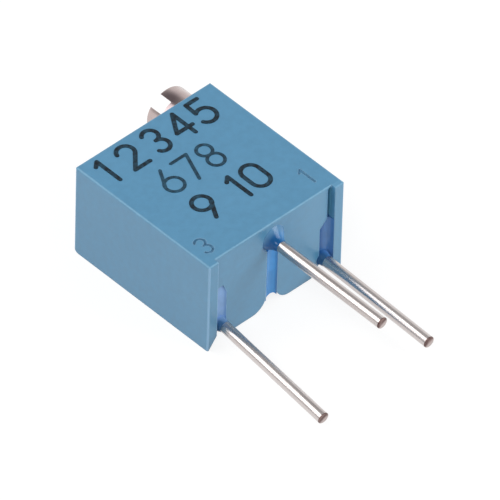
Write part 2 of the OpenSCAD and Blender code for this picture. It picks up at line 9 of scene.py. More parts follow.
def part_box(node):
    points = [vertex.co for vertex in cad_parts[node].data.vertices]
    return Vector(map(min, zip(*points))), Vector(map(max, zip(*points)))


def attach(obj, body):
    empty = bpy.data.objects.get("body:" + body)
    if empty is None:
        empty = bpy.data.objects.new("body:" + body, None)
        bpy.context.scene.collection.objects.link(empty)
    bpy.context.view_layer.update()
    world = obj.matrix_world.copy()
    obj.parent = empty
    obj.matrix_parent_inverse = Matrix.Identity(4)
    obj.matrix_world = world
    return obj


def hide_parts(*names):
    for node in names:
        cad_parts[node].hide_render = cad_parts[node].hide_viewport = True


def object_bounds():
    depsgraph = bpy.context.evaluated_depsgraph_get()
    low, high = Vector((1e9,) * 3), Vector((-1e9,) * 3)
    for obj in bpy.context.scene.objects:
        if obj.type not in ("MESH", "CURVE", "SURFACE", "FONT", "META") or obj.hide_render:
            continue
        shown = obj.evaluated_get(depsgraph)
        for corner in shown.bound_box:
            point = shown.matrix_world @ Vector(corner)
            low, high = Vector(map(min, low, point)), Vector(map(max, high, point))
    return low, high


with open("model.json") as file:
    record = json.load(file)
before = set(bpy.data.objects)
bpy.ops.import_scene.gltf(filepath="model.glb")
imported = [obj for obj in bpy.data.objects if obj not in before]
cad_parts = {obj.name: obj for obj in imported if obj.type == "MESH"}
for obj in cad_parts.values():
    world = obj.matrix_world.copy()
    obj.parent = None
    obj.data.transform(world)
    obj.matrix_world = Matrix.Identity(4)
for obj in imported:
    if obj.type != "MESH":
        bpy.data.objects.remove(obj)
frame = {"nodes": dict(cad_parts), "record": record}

# Looks of a small multi-turn trimmer. The part lies on its back: +Z out of the marked face, -Y the
# way the leads leave, +Y out of the adjusting screw's face. The frame's own sizes are in metres. Those
# given here are in millimetres, and MM turns them to metres where they are used.
MM = 0.001
cad_lo, cad_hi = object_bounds()
case_lo, case_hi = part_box("case")
scene = bpy.context.scene
mounts = {mount["name"]: mount for mount in frame["record"]["mounts"]}

# ---- camera ----
azimuth, elevation, roll = math.radians(-44.57), math.radians(44.0), math.radians(1.71)
distance, focal_length = 467.0 * MM, 924.0
# from over the middle of the case's foot to the middle of the view
aim_right, aim_up = 1.54 * MM, 0.29 * MM
back = Vector((math.sin(azimuth) * math.cos(elevation), -math.cos(azimuth) * math.cos(elevation),
               math.sin(elevation)))
level = Vector((0, 0, 1)).cross(back).normalized()
upward = back.cross(level)
rightward = math.cos(roll) * level + math.sin(roll) * upward
topward = -math.sin(roll) * level + math.cos(roll) * upward
case_foot = Vector(((case_lo.x + case_hi.x) / 2, (case_lo.y + case_hi.y) / 2, case_lo.z))
camera = bpy.data.objects.new("camera", bpy.data.cameras.new("camera"))
camera.data.sensor_width = 36.0
camera.data.lens = focal_length
camera.data.clip_start, camera.data.clip_end = 10 * MM, 10000 * MM
stand = case_foot + rightward * aim_right + topward * aim_up + back * distance
camera.matrix_world = (Matrix.Translation(stand)
                       @ Matrix((rightward, topward, back)).transposed().to_4x4())
scene.collection.objects.link(camera)
scene.camera = camera


# ---- small tools ----
def linear(code):
    """An sRGB hex colour as linear RGBA."""
    parts = [int(code[i:i + 2], 16) / 255 for i in (1, 3, 5)]
    return tuple(c / 12.92 if c < 0.04045 else ((c + 0.055) / 1.055) ** 2.4 for c in parts) + (1.0,)


def per(size):
    """Texture scale for features of that size in millimetres."""
    return 1000.0 / size


def unit(value):
    """A number held between 0 and 1."""
    return max(0.0, min(1.0, value))


def put(tree, kind, settings=None, **links):
    """Adds a node. Each link names an input, with _ for a space or as iN by its number, and gives it
    a value or another node's output. Of a Mix node, i0 is the factor and i6 and i7 the two colours."""
    made = tree.nodes.new(kind)
    for key, value in (settings or {}).items():
        setattr(made, key, value)
    for key, value in links.items():
        name = key.replace("_", " ")
        by_number = name[0] == "i" and name[1:].isdigit()
        place = made.inputs[int(name[1:])] if by_number else made.inputs[name]
        if isinstance(value, bpy.types.NodeSocket):
            tree.links.new(value, place)
        else:
            place.default_value = value
    return made


def start(name, **fixed):
    """A material with a Principled shader whose constants are set on its own sockets."""
    material = bpy.data.materials.new(name)
    material.use_nodes = True
    tree = material.node_tree
    tree.nodes.clear()
    shader = put(tree, "ShaderNodeBsdfPrincipled", **fixed)
    put(tree, "ShaderNodeOutputMaterial", Surface=shader.outputs["BSDF"])
    where = put(tree, "ShaderNodeTexCoord").outputs["Object"]
    return material, tree, shader, where


def connect(material, shader, colour, roughness, normal):
    """Links what varies over a material to its shader, and returns the material."""
    for name, output in (("Base Color", colour), ("Roughness", roughness), ("Normal", normal)):
        material.node_tree.links.new(output, shader.inputs[name])
    return material


# ---- materials ----
def broken_edges(tree):
    """The case's edges, broken by a hair: their normal, how far they turn away from the case's three
    directions, and how far they turn round an upright corner."""
    broken = put(tree, "ShaderNodeBevel", {"samples": 8}, Radius=0.06 * MM)
    facing = put(tree, "ShaderNodeVectorMath", {"operation": "ABSOLUTE"}, i0=broken.outputs["Normal"])
    parts = put(tree, "ShaderNodeSeparateXYZ", Vector=facing.outputs["Vector"]).outputs
    most = put(tree, "ShaderNodeMath", {"operation": "MAXIMUM"}, i0=parts["X"], i1=parts["Y"])
    most = put(tree, "ShaderNodeMath", {"operation": "MAXIMUM"}, i0=most.outputs[0], i1=parts["Z"])
    edge = put(tree, "ShaderNodeMapRange", {"interpolation_type": "SMOOTHSTEP"}, Value=most.outputs[0],
               From_Min=0.995, From_Max=0.82)
    corner = put(tree, "ShaderNodeMath", {"operation": "MULTIPLY"}, i0=parts["X"], i1=parts["Y"])
    upright = put(tree, "ShaderNodeMapRange", {"interpolation_type": "SMOOTHSTEP"},
                  Value=corner.outputs[0], From_Min=0.05, From_Max=0.45)
    return broken.outputs["Normal"], edge.outputs["Result"], upright.outputs["Result"]


def painted_flank_light(tree, place):
    """Masks for painted light on the right of the terminal face and its feet, lit more by the light
    from the right.
    The feet stand at y = 0 and the face lies 0.2 mm behind."""
    right = put(tree, "ShaderNodeMapRange", {"interpolation_type": "SMOOTHSTEP"}, Value=place["X"],
                From_Min=0.4 * MM, From_Max=2.7 * MM, To_Max=0.5)
    front = put(tree, "ShaderNodeMath", {"operation": "LESS_THAN"}, i0=place["Y"], i1=0.21 * MM)
    return right.outputs["Result"], front.outputs[0]


def painted_groove_light(tree, place):
    """Masks for painted light in the relief groove beside the foot of lead 1, lifting the shade inside
    it.
    """
    half_width = 0.2 * MM
    beside = put(tree, "ShaderNodeMath", {"operation": "COMPARE"}, i0=place["X"], i1=2.8 * MM,
                 i2=half_width)
    deep = put(tree, "ShaderNodeMath", {"operation": "COMPARE"}, i0=place["Y"], i1=0.42 * MM,
               i2=half_width)
    low = put(tree, "ShaderNodeMath", {"operation": "LESS_THAN"}, i0=place["Z"],
              i1=case_hi.z - 0.05 * MM)
    return beside.outputs[0], deep.outputs[0], low.outputs[0]


def painted_numeral_shade(tree, place):
    """Masks for painted shade in the sunk numerals, just under the marked face and away from the
    case's sides, and more of it in the 3 than in the 1."""
    sideways = put(tree, "ShaderNodeMath", {"operation": "ABSOLUTE"}, i0=place["X"])
    inside = put(tree, "ShaderNodeMath", {"operation": "LESS_THAN"}, i0=sideways.outputs[0],
                 i1=3.25 * MM)
    behind = put(tree, "ShaderNodeMath", {"operation": "GREATER_THAN"}, i0=place["Y"], i1=0.65 * MM)
    ahead = put(tree, "ShaderNodeMath", {"operation": "LESS_THAN"}, i0=place["Y"], i1=3.0 * MM)
    above = put(tree, "ShaderNodeMath", {"operation": "GREATER_THAN"}, i0=place["Z"],
                i1=case_hi.z - 0.1 * MM)
    under = put(tree, "ShaderNodeMapRange", Value=place["Z"], From_Min=case_hi.z - 0.005 * MM,
                From_Max=case_hi.z - 0.03 * MM, To_Max=0.7)
    fuller = put(tree, "ShaderNodeMapRange", Value=place["X"], From_Min=-2.0 * MM, From_Max=2.0 * MM,
                 To_Min=1.0, To_Max=0.6)
    return (under.outputs["Result"], fuller.outputs["Result"], inside.outputs[0], behind.outputs[0],
            ahead.outputs[0], above.outputs[0])


def moulded_polyester():
    # Glass-filled polyester, moulded in a spark-eroded tool: satin, faintly grained, with slow flow
    # marks in the blue. Its broken edges are duller and carry a painted highlight in patches, brightest
    # at the upright corners. The grain is really about 0.03 mm and is drawn at 0.09 mm so that it
    # shows.
    material, tree, shader, where = start("moulded_polyester", Metallic=0.0, IOR=1.56,
                                          Specular_IOR_Level=0.85)
    place = put(tree, "ShaderNodeSeparateXYZ", Vector=where).outputs
    flow = put(tree, "ShaderNodeTexNoise", Vector=where, Scale=per(2.4), Detail=3.0, Roughness=0.55)
    mottle = put(tree, "ShaderNodeTexNoise", Vector=where, Scale=per(0.28), Detail=4.0, Roughness=0.6)
    grain = put(tree, "ShaderNodeTexNoise", Vector=where, Scale=per(0.09), Detail=2.0, Roughness=0.5)
    slow = put(tree, "ShaderNodeMix", {"data_type": "RGBA"}, i0=flow.outputs["Fac"],
               i6=linear("#4888ae"), i7=linear("#5291b7"))
    fine = put(tree, "ShaderNodeMapRange", Value=mottle.outputs["Fac"], From_Min=0.3, From_Max=0.7,
               To_Min=0.95, To_Max=1.05)
    tone = put(tree, "ShaderNodeVectorMath", {"operation": "SCALE"}, i0=slow.outputs[2],
               Scale=fine.outputs["Result"])
    colour = tone.outputs["Vector"]
    normal, edge, upright = broken_edges(tree)
    patchy = put(tree, "ShaderNodeMapRange", Value=mottle.outputs["Fac"], From_Min=0.3, From_Max=0.7,
                 To_Min=0.55, To_Max=1.0)
    # a zone lies where all its masks do, and turns the colour to its own: painted highlight on the
    # edges, brighter at the upright corners, painted light on the right of the terminal face and in the
    # relief groove, painted shade in the sunk numerals
    for masks, tint in (((edge, patchy.outputs["Result"]), "#76acca"), ((upright,), "#90bee1"),
                        (painted_flank_light(tree, place), "#629fc4"), (painted_groove_light(tree, place), "#6aafce"),
                        (painted_numeral_shade(tree, place), "#12668e")):
        zone = masks[0]
        for mask in masks[1:]:
            zone = put(tree, "ShaderNodeMath", {"operation": "MULTIPLY"}, i0=zone, i1=mask).outputs[0]
        colour = put(tree, "ShaderNodeMix", {"data_type": "RGBA"}, i0=zone, i6=colour,
                     i7=linear(tint)).outputs[2]
    satin = put(tree, "ShaderNodeMapRange", Value=mottle.outputs["Fac"], To_Min=0.3, To_Max=0.44)
    gloss = put(tree, "ShaderNodeMath", {"operation": "MULTIPLY_ADD"}, i0=edge, i1=0.3,
                i2=satin.outputs["Result"])
    bump = put(tree, "ShaderNodeBump", Strength=1.0, Distance=0.0022 * MM, Height=grain.outputs["Fac"],
               Normal=normal)
    return connect(material, shader, colour, gloss.outputs[0], bump.outputs["Normal"])


def cast_epoxy():
    # Blue epoxy, poured and cured: deeper and more saturated than the case, with a slightly wavy skin
    # and faint swirls. It is darkest at the right, a painted shade in the mouth of the slot of lead 1,
    # paler toward the middle and palest to the left, with a painted light where it climbs the foot on
    # the right. The mounds' own attributes say where they carry painted shade and painted light, and
    # where their rim feathers into the case's blue.
    material, tree, shader, where = start("cast_epoxy", Metallic=0.0, IOR=1.53,
                                          Specular_IOR_Level=0.3)
    swirl = put(tree, "ShaderNodeTexNoise", Vector=where, Scale=per(0.7), Detail=3.0, Distortion=0.8)
    wave = put(tree, "ShaderNodeTexNoise", Vector=where, Scale=per(0.45), Detail=1.0)
    place = put(tree, "ShaderNodeSeparateXYZ", Vector=where).outputs
    colour = linear("#1f5a98")
    # from where on X a tint begins to where it is full: toward the middle, lifting the painted shade at
    # the right; up the foot, a painted light; to the left, paler
    for begins, full, tint in ((2.2, 0.0, "#3c90d4"), (2.45, 2.8, "#5a8cc6"), (-0.4, -2.6, "#8ab3e4")):
        band = put(tree, "ShaderNodeMapRange", {"interpolation_type": "SMOOTHSTEP"}, Value=place["X"],
                   From_Min=begins * MM, From_Max=full * MM)
        colour = put(tree, "ShaderNodeMix", {"data_type": "RGBA"}, i0=band.outputs["Result"],
                     i6=colour, i7=linear(tint)).outputs[2]
    # the colour of the painted shade: clear and dark round the middle lead, and greyer round the outer
    # two
    sideways = put(tree, "ShaderNodeMath", {"operation": "ABSOLUTE"}, i0=place["X"])
    outer = put(tree, "ShaderNodeMath", {"operation": "GREATER_THAN"}, i0=sideways.outputs[0],
                i1=1.3 * MM)
    deep = put(tree, "ShaderNodeMix", {"data_type": "RGBA"}, i0=outer.outputs[0],
               i6=linear("#065896"), i7=linear("#376490"))
    # painted light and painted shade on each mound, and its rim feathered into the case's blue, as its
    # attributes give them
    for attribute, tint in (("painted_light", linear("#62a0d8")), ("painted_shade", deep.outputs[2]),
                            ("feathered", linear("#5b8fb8"))):
        zone = put(tree, "ShaderNodeAttribute", {"attribute_name": attribute})
        colour = put(tree, "ShaderNodeMix", {"data_type": "RGBA"}, i0=zone.outputs["Fac"], i6=colour,
                     i7=tint).outputs[2]
    shade = put(tree, "ShaderNodeMapRange", Value=swirl.outputs["Fac"], From_Min=0.3, From_Max=0.7,
                To_Min=0.88, To_Max=1.12)
    tone = put(tree, "ShaderNodeVectorMath", {"operation": "SCALE"}, i0=colour,
               Scale=shade.outputs["Result"])
    gloss = put(tree, "ShaderNodeMapRange", Value=swirl.outputs["Fac"], To_Min=0.1, To_Max=0.24)
    bump = put(tree, "ShaderNodeBump", Strength=1.0, Distance=0.008 * MM, Height=wave.outputs["Fac"])
    return connect(material, shader, tone.outputs["Vector"], gloss.outputs["Result"],
                   bump.outputs["Normal"])


def tinned_copper():
    # Copper wire, hot tinned and drawn: bright, with long fine die lines, grey bands where the tin
    # runs thin and a slightly soft shine.
    material, tree, shader, where = start("tinned_copper", Metallic=1.0)
    along = put(tree, "ShaderNodeMapping", Vector=where, Scale=(1.0, 0.03, 1.0))
    lines = put(tree, "ShaderNodeTexNoise", Vector=along.outputs["Vector"], Scale=per(0.05), Detail=3.0,
                Roughness=0.6)
    bands = put(tree, "ShaderNodeTexNoise", Vector=along.outputs["Vector"], Scale=per(0.16), Detail=2.0)
    tone = put(tree, "ShaderNodeMix", {"data_type": "RGBA"}, i0=bands.outputs["Fac"],
               i6=linear("#b6aca9"), i7=linear("#e6dfdd"))
    gloss = put(tree, "ShaderNodeMapRange", Value=lines.outputs["Fac"], To_Min=0.2, To_Max=0.36)
    bump = put(tree, "ShaderNodeBump", Strength=1.0, Distance=0.0012 * MM, Height=lines.outputs["Fac"])
    return connect(material, shader, tone.outputs[2], gloss.outputs["Result"], bump.outputs["Normal"])


def sheared_copper():
    # Wire end cut with shears: copper showing through smeared tin, dull and torn in one direction. The
    # blade dragged the tin over one side of the end, as the wire's own attribute says.
    material, tree, shader, where = start("sheared_copper", Metallic=1.0)
    along = put(tree, "ShaderNodeMapping", Vector=where, Scale=(1.0, 1.0, 0.25))
    torn = put(tree, "ShaderNodeTexNoise", Vector=along.outputs["Vector"], Scale=per(0.09), Detail=3.0)
    smear = put(tree, "ShaderNodeTexNoise", Vector=where, Scale=per(0.3), Detail=1.0)
    mask = put(tree, "ShaderNodeMapRange", Value=smear.outputs["Fac"], From_Min=0.4, From_Max=0.62)
    copper = put(tree, "ShaderNodeMix", {"data_type": "RGBA"}, i0=mask.outputs["Result"],
                 i6=linear("#4b302e"), i7=linear("#8c7672"))
    smeared = put(tree, "ShaderNodeAttribute", {"attribute_name": "smeared"})
    tinned = put(tree, "ShaderNodeMapRange", {"interpolation_type": "SMOOTHSTEP"},
                 Value=smeared.outputs["Fac"], From_Min=0.4, From_Max=0.75)
    tone = put(tree, "ShaderNodeMix", {"data_type": "RGBA"}, i0=tinned.outputs["Result"],
               i6=copper.outputs[2], i7=linear("#c6b8b5"))
    gloss = put(tree, "ShaderNodeMapRange", Value=torn.outputs["Fac"], To_Min=0.3, To_Max=0.55)
    bump = put(tree, "ShaderNodeBump", Strength=1.0, Distance=0.008 * MM, Height=torn.outputs["Fac"])
    return connect(material, shader, tone.outputs[2], gloss.outputs["Result"], bump.outputs["Normal"])


def nickelled_brass():
    # Brass bar, turned and nickel plated: warm grey, with fine tool rings round the axis, and one dark
    # patch on the flank beside the slot, a painted dark reflection.
    material, tree, shader, where = start("nickelled_brass", Metallic=1.0)
    rings = put(tree, "ShaderNodeMapping", Vector=where, Scale=(0.02, 1.0, 0.02))
    tool = put(tree, "ShaderNodeTexNoise", Vector=rings.outputs["Vector"], Scale=per(0.05), Detail=2.0)
    stain = put(tree, "ShaderNodeTexNoise", Vector=where, Scale=per(0.5), Detail=3.0)
    plate = put(tree, "ShaderNodeMix", {"data_type": "RGBA"}, i0=stain.outputs["Fac"],
                i6=linear("#aa9794"), i7=linear("#d6c7c4"))
    # a painted dark reflection on the head, darkest at the middle of the patch
    from_patch = put(tree, "ShaderNodeVectorMath", {"operation": "DISTANCE"}, i0=where,
                     i1=(1.83 * MM, 7.65 * MM, 0.5 * MM))
    painted_dark_reflection = put(tree, "ShaderNodeMapRange", {"interpolation_type": "SMOOTHSTEP"},
                  Value=from_patch.outputs["Value"], From_Min=0.72 * MM, From_Max=0.15 * MM,
                  To_Max=0.85)
    tone = put(tree, "ShaderNodeMix", {"data_type": "RGBA"}, i0=painted_dark_reflection.outputs["Result"],
               i6=plate.outputs[2], i7=linear("#75666a"))
    gloss = put(tree, "ShaderNodeMapRange", Value=tool.outputs["Fac"], To_Min=0.12, To_Max=0.24)
    bump = put(tree, "ShaderNodeBump", Strength=1.0, Distance=0.0006 * MM, Height=tool.outputs["Fac"])
    return connect(material, shader, tone.outputs[2], gloss.outputs["Result"], bump.outputs["Normal"])


def pad_printed_ink():
    # Epoxy ink put on with a soft pad: almost black, a little blue where the film is thin, and
    # speckled where it missed the grain of the case. The middle row took less ink.
    material, tree, shader, where = start("pad_printed_ink", Metallic=0.0, IOR=1.5,
                                          Specular_IOR_Level=0.25)
    thin = put(tree, "ShaderNodeTexNoise", Vector=where, Scale=per(0.22), Detail=3.0, Roughness=0.7)
    speck = put(tree, "ShaderNodeTexNoise", Vector=where, Scale=per(0.05), Detail=1.0)
    film = put(tree, "ShaderNodeMapRange", Value=thin.outputs["Fac"], From_Min=0.4, From_Max=0.7,
               To_Max=0.5)
    row = put(tree, "ShaderNodeSeparateXYZ", Vector=where).outputs["Y"]
    low = put(tree, "ShaderNodeMapRange", Value=row, From_Min=3.3 * MM, From_Max=3.6 * MM)
    high = put(tree, "ShaderNodeMapRange", Value=row, From_Min=5.2 * MM, From_Max=5.0 * MM)
    middle = put(tree, "ShaderNodeMath", {"operation": "MULTIPLY"}, i0=low.outputs["Result"],
                 i1=high.outputs["Result"])
    weak = put(tree, "ShaderNodeMath", {"operation": "MULTIPLY_ADD"}, i0=middle.outputs[0], i1=0.22,
               i2=film.outputs["Result"])
    missed = put(tree, "ShaderNodeMapRange", Value=speck.outputs["Fac"], From_Min=0.68, From_Max=0.78,
                 To_Max=0.5)
    bare = put(tree, "ShaderNodeMath", {"operation": "MAXIMUM"}, i0=weak.outputs[0],
               i1=missed.outputs["Result"])
    tone = put(tree, "ShaderNodeMix", {"data_type": "RGBA"}, i0=bare.outputs[0],
               i6=linear("#0e1a22"), i7=linear("#33627c"))
    gloss = put(tree, "ShaderNodeMapRange", Value=thin.outputs["Fac"], To_Min=0.45, To_Max=0.65)
    bump = put(tree, "ShaderNodeBump", Strength=1.0, Distance=0.003 * MM, Height=speck.outputs["Fac"])
    return connect(material, shader, tone.outputs[2], gloss.outputs["Result"], bump.outputs["Normal"])


def moulded_nitrile():
    # Nitrile rubber: near black, dull, with a faint bloom and a pimpled skin.
    material, tree, shader, where = start("moulded_nitrile", Metallic=0.0, IOR=1.52)
    bloom = put(tree, "ShaderNodeTexNoise", Vector=where, Scale=per(0.4), Detail=3.0)
    skin = put(tree, "ShaderNodeTexNoise", Vector=where, Scale=per(0.06), Detail=2.0)
    tone = put(tree, "ShaderNodeMix", {"data_type": "RGBA"}, i0=bloom.outputs["Fac"],
               i6=linear("#1d1d20"), i7=linear("#37373b"))
    gloss = put(tree, "ShaderNodeMapRange", Value=bloom.outputs["Fac"], To_Min=0.5, To_Max=0.75)
    bump = put(tree, "ShaderNodeBump", Strength=1.0, Distance=0.004 * MM, Height=skin.outputs["Fac"])
    return connect(material, shader, tone.outputs[2], gloss.outputs["Result"], bump.outputs["Normal"])


def rolled_metal(name, dark, light, softest, dullest, line_width):
    # Thin rolled sheet: straight rolling lines one way, faint stains, and an even satin shine.
    material, tree, shader, where = start(name, Metallic=1.0)
    along = put(tree, "ShaderNodeMapping", Vector=where, Scale=(1.0, 0.05, 0.05))
    lines = put(tree, "ShaderNodeTexNoise", Vector=along.outputs["Vector"], Scale=per(line_width),
                Detail=3.0)
    stain = put(tree, "ShaderNodeTexNoise", Vector=where, Scale=per(0.6), Detail=3.0)
    tone = put(tree, "ShaderNodeMix", {"data_type": "RGBA"}, i0=stain.outputs["Fac"],
               i6=linear(dark), i7=linear(light))
    gloss = put(tree, "ShaderNodeMapRange", Value=lines.outputs["Fac"], To_Min=softest, To_Max=dullest)
    bump = put(tree, "ShaderNodeBump", Strength=1.0, Distance=0.0015 * MM, Height=lines.outputs["Fac"])
    return connect(material, shader, tone.outputs[2], gloss.outputs["Result"], bump.outputs["Normal"])


def moulded_acetal():
    # Acetal, moulded: creamy white, slightly waxy, with light passing a little way in and faint clouds.
    material, tree, shader, where = start("moulded_acetal", Metallic=0.0, IOR=1.48,
                                          Subsurface_Weight=0.15, Subsurface_Scale=0.2 * MM)
    cloud = put(tree, "ShaderNodeTexNoise", Vector=where, Scale=per(1.2), Detail=3.0)
    skin = put(tree, "ShaderNodeTexNoise", Vector=where, Scale=per(0.08), Detail=2.0)
    tone = put(tree, "ShaderNodeMix", {"data_type": "RGBA"}, i0=cloud.outputs["Fac"],
               i6=linear("#d6d1c4"), i7=linear("#ece8dd"))
    gloss = put(tree, "ShaderNodeMapRange", Value=cloud.outputs["Fac"], To_Min=0.3, To_Max=0.45)
    bump = put(tree, "ShaderNodeBump", Strength=1.0, Distance=0.002 * MM, Height=skin.outputs["Fac"])
    return connect(material, shader, tone.outputs[2], gloss.outputs["Result"], bump.outputs["Normal"])


def fired_alumina():
    # Alumina sheet, fired: off-white and chalky, with fine grains that glint a little.
    material, tree, shader, where = start("fired_alumina", Metallic=0.0, IOR=1.76)
    grains = put(tree, "ShaderNodeTexVoronoi", Vector=where, Scale=per(0.05)).outputs["Distance"]
    cloud = put(tree, "ShaderNodeTexNoise", Vector=where, Scale=per(1.0), Detail=2.0)
    tone = put(tree, "ShaderNodeMix", {"data_type": "RGBA"}, i0=cloud.outputs["Fac"],
               i6=linear("#e2ddd0"), i7=linear("#f2efe6"))
    gloss = put(tree, "ShaderNodeMapRange", Value=grains, To_Min=0.45, To_Max=0.7)
    bump = put(tree, "ShaderNodeBump", Strength=1.0, Distance=0.003 * MM, Height=grains)
    return connect(material, shader, tone.outputs[2], gloss.outputs["Result"], bump.outputs["Normal"])


def fired_cermet():
    # Cermet ink, screen printed and fired: dark brown glass full of metal grains, with the mesh of
    # the screen, about 0.07 mm, left in its surface.
    material, tree, shader, where = start("fired_cermet", Metallic=0.0, IOR=1.7, Coat_Weight=0.3,
                                          Coat_Roughness=0.2)
    screen = put(tree, "ShaderNodeTexNoise", Vector=where, Scale=per(0.07), Detail=1.0)
    grains = put(tree, "ShaderNodeTexVoronoi", Vector=where, Scale=per(0.03))
    tone = put(tree, "ShaderNodeMix", {"data_type": "RGBA"}, i0=grains.outputs["Distance"],
               i6=linear("#5a4d45"), i7=linear("#27211e"))
    gloss = put(tree, "ShaderNodeMapRange", Value=screen.outputs["Fac"], To_Min=0.25, To_Max=0.5)
    bump = put(tree, "ShaderNodeBump", Strength=1.0, Distance=0.003 * MM, Height=screen.outputs["Fac"])
    return connect(material, shader, tone.outputs[2], gloss.outputs["Result"], bump.outputs["Normal"])


def fired_silver():
    # Silver-palladium ink, screen printed and fired: pale grey, dull, a little porous.
    material, tree, shader, where = start("fired_silver", Metallic=1.0)
    pores = put(tree, "ShaderNodeTexVoronoi", Vector=where, Scale=per(0.06)).outputs["Distance"]
    cloud = put(tree, "ShaderNodeTexNoise", Vector=where, Scale=per(0.5), Detail=2.0)
    tone = put(tree, "ShaderNodeMix", {"data_type": "RGBA"}, i0=cloud.outputs["Fac"],
               i6=linear("#aeb0b2"), i7=linear("#cfd0d1"))
    gloss = put(tree, "ShaderNodeMapRange", Value=pores, To_Min=0.4, To_Max=0.65)
    bump = put(tree, "ShaderNodeBump", Strength=1.0, Distance=0.004 * MM, Height=pores)
    return connect(material, shader, tone.outputs[2], gloss.outputs["Result"], bump.outputs["Normal"])


def reflowed_solder():
    # Tin-lead solder, melted and set: bright grey, frosted where it froze last, gently lumpy.
    material, tree, shader, where = start("reflowed_solder", Metallic=1.0)
    frost = put(tree, "ShaderNodeTexNoise", Vector=where, Scale=per(0.12), Detail=4.0)
    lumps = put(tree, "ShaderNodeTexNoise", Vector=where, Scale=per(0.35), Detail=1.0)
    tone = put(tree, "ShaderNodeMix", {"data_type": "RGBA"}, i0=frost.outputs["Fac"],
               i6=linear("#9fa1a3"), i7=linear("#c6c8ca"))
    gloss = put(tree, "ShaderNodeMapRange", Value=frost.outputs["Fac"], To_Min=0.2, To_Max=0.45)
    bump = put(tree, "ShaderNodeBump", Strength=1.0, Distance=0.015 * MM, Height=lumps.outputs["Fac"])
    return connect(material, shader, tone.outputs[2], gloss.outputs["Result"], bump.outputs["Normal"])


materials = {
    "case": moulded_polyester(),
    "resin": cast_epoxy(),
    "wire": tinned_copper(),
    "wire_end": sheared_copper(),
    "screw": nickelled_brass(),
    "ink": pad_printed_ink(),
    "rubber": moulded_nitrile(),
    "clip": rolled_metal("rolled_spring_steel", "#8a8d90", "#b0b2b4", 0.22, 0.4, 0.05),
    "spring": rolled_metal("gilded_copper_alloy", "#b98f45", "#dcb968", 0.16, 0.32, 0.04),
    "wheel": moulded_acetal(),
    "alumina": fired_alumina(),
    "cermet": fired_cermet(),
    "silver": fired_silver(),
    "solder": reflowed_solder(),
}

# ---- the frame's own pieces that stay ----
for node, finish in (("case", "case"), ("sealing_resin", "resin"), ("o_ring", "rubber"),
                     ("retaining_clip", "clip"), ("worm_wheel", "wheel"), ("wiper", "spring"),
                     ("substrate", "alumina"), ("track", "cermet"), ("collector", "silver"),
                     ("end_print_1", "silver"), ("end_print_3", "silver"), ("solder_1", "solder"),
                     ("solder_2", "solder"), ("solder_3", "solder"), ("marking", "ink")):
    mesh = frame["nodes"][node].data
    mesh.materials.clear()
    mesh.materials.append(materials[finish])


# ---- new pieces ----
def mesh_of(name, bm):
    """Makes a bmesh a mesh, and frees it."""
    mesh = bpy.data.meshes.new(name)
    bm.to_mesh(mesh)
    bm.free()
    return mesh


def piece_of(name, bm, body, slot, *finishes, smooth=30.0):
    """Makes a bmesh a piece that rides on a body, shaded smooth over edges under that many degrees."""
    bmesh.ops.recalc_face_normals(bm, faces=bm.faces)
    mesh = mesh_of(name, bm)
    made = bpy.data.objects.new(name, mesh)
    scene.collection.objects.link(made)
    for finish in finishes:
        mesh.materials.append(materials[finish])
    mesh.polygons.foreach_set("use_smooth", [True] * len(mesh.polygons))
    mesh.set_sharp_from_angle(angle=math.radians(smooth))
    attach(made, body)
    return made


def ring(bm, centre, direction, radius, sides=48):
    """A circle of vertices round a point, across a direction; returns its edges."""
    turned = direction.to_track_quat("Z", "Y").to_matrix().to_4x4()
    made = bmesh.ops.create_circle(bm, cap_ends=False, segments=sides, radius=radius,
                                   matrix=Matrix.Translation(centre) @ turned)
    return [e for e in bm.edges if e.verts[0] in made["verts"] and e.verts[1] in made["verts"]]


def draw_on(bm, edges, offset):
    """Draws a ring of edges on by that vector; returns the new ring."""
    made = bmesh.ops.extrude_edge_only(bm, edges=edges)["geom"]
    verts = [v for v in made if isinstance(v, bmesh.types.BMVert)]
    bmesh.ops.translate(bm, verts=verts, vec=offset)
    return [e for e in made if isinstance(e, bmesh.types.BMEdge)]


def widen(bm, edges, centre, factor):
    """Scales a ring about its centre."""
    verts = list({v for e in edges for v in e.verts})
    bmesh.ops.scale(bm, verts=verts, vec=(factor,) * 3, space=Matrix.Translation(-centre))


def bend(bm, edges, centre, axis, angle, steps):
    """Carries a ring round an axis; returns the last ring."""
    made = bmesh.ops.spin(bm, geom=edges, cent=centre, axis=axis, angle=angle, steps=steps,
                          dvec=(0, 0, 0), use_duplicate=False)["geom_last"]
    return [e for e in made if isinstance(e, bmesh.types.BMEdge)]


# the leads: their radius, the axis of lead 1 inside the case, the gentle bend that each leaves with
# and the tight one of the middle lead
lead_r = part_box("lead_2")[1].x
outer_x, outer_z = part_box("lead_1")[1].x - lead_r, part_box("lead_1")[1].z - lead_r
soft_bend, tight_bend = 2.5 * MM, 0.35 * MM
# the shears spread the last bit of a wire, turned a low lip in over its end and dragged tin across it
flare, lip, lip_drop = 0.1 * MM, 0.012 * MM, 0.01 * MM
drag = Vector((0.45, 0, -0.9)).normalized()


def sheared_end(bm, edges, here, course, length):
    """Draws a wire on to its cut end, that far along its course, and closes it."""
    # how far along each ring of the end lies, and how much wider it is than the last
    reach = length - flare
    edges = draw_on(bm, edges, course * reach)
    spread_from = length - 0.3 * flare
    for further, wider in ((spread_from, 1.015), (length, 0.985), (length + lip, 0.9),
                           (length + lip - lip_drop, 0.5)):
        edges = draw_on(bm, edges, course * (further - reach))
        widen(bm, edges, here + course * further, wider)
        reach = further
    bmesh.ops.contextual_create(bm, geom=edges)
    for face in bm.faces:
        if (face.calc_center_median() - here).dot(course) > spread_from:
            face.material_index = 1


